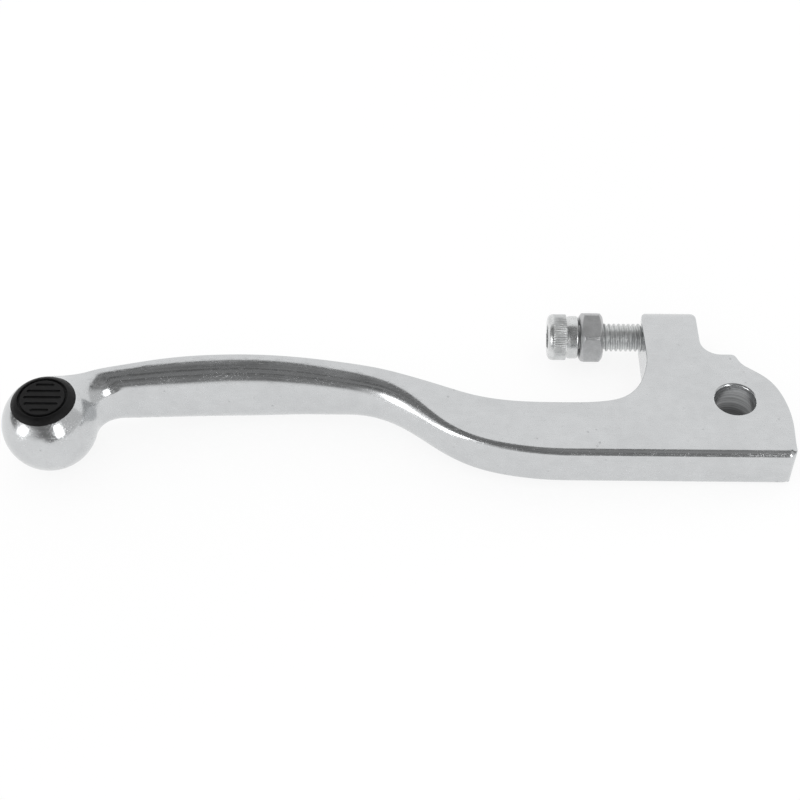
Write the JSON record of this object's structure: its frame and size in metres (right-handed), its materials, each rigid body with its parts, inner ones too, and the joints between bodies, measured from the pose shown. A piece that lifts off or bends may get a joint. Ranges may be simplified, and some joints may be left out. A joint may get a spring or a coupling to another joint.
{
  "type": "clutch lever",
  "caption": "Forged motorcycle clutch lever with a ball end and moulded end plug, a cross pivot hole and a screw with lock nut that adjusts its reach.",
  "frame": {"origin": "centre of the pivot hole at half the thickness of the pivot block", "axes": "+X along the lever from the ball end to the pivot end, +Y towards the side that carries the adjuster (the handlebar side), +Z along the pivot hole, out of the face that carries the end plug"},
  "size_m": [0.1551, 0.0413, 0.0177],
  "materials": {
    "polished_aluminium": "polished forged aluminium with fine scratches",
    "black_plastic": "matt moulded plastic",
    "zinc_plated_steel": "bright zinc plating",
    "dull_plated_steel": "dull grey plating"
  },
  "bodies": {
    "lever": {"lever_body": "polished_aluminium", "end_plug": "black_plastic"},
    "screw": {"adjuster_screw": "zinc_plated_steel"},
    "nut": {"lock_nut": "dull_plated_steel"}
  },
  "joints": [
    {"name": "adjuster_travel", "type": "slide", "parent": "lever", "child": "screw", "axis": [1, 0, 0], "range_m": [-0.004, 0.0075]},
    {"name": "lock_nut_turn", "type": "hinge", "parent": "screw", "child": "nut", "pos_m": [-0.0266, 0.0216, 0], "axis": [1, 0, 0], "continuous": true}
  ]
}
